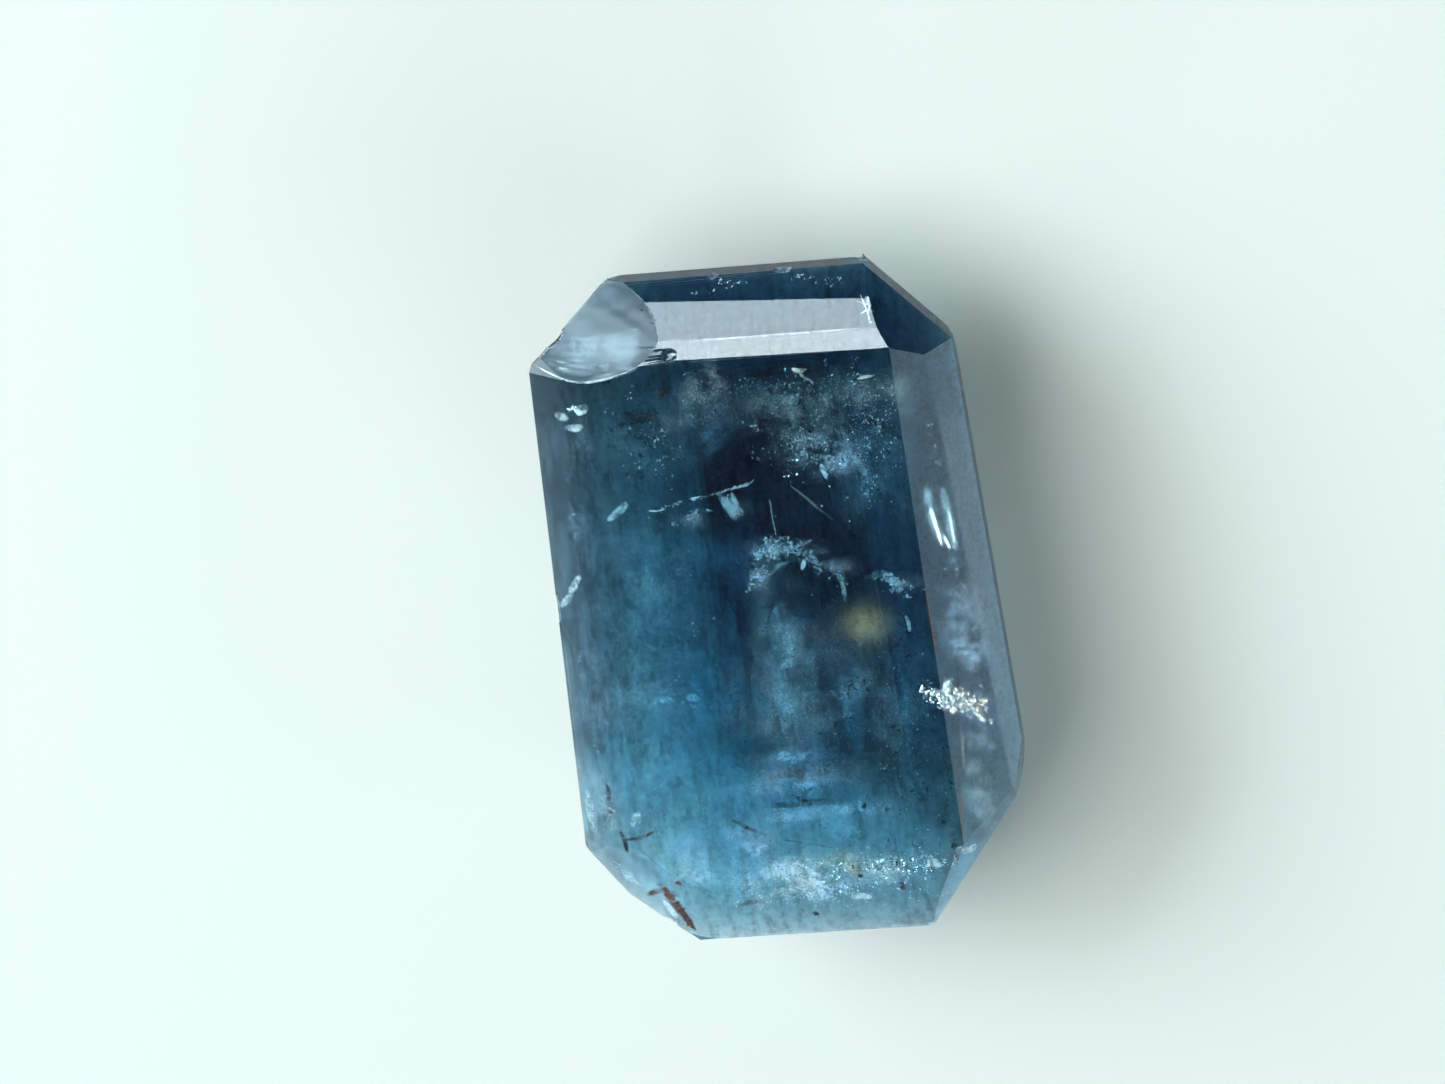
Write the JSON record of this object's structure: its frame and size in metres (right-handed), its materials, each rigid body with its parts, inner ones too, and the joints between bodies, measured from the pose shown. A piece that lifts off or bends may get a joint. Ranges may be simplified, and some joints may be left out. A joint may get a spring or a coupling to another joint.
{
  "type": "faceted afghanite gemstone",
  "caption": "Step-cut blue afghanite gemstone with a flat table, stepped crown and pavilion, a flat culet and one broken corner.",
  "frame": {"origin": "centre of the stone's bounding box in plan, on the flat culet that it rests on", "axes": "+Z from the culet to the table, +Y along the stone's length towards the end with the broken corner, +X across its width"},
  "size_m": [0.0048, 0.0076, 0.0023],
  "materials": {
    "afghanite": "polished, included blue afghanite: a clear teal-blue stone with fine veils, a hand-polished table and slightly frosted side facets"
  },
  "bodies": {
    "root": {"gemstone": "afghanite"}
  },
  "joints": []
}
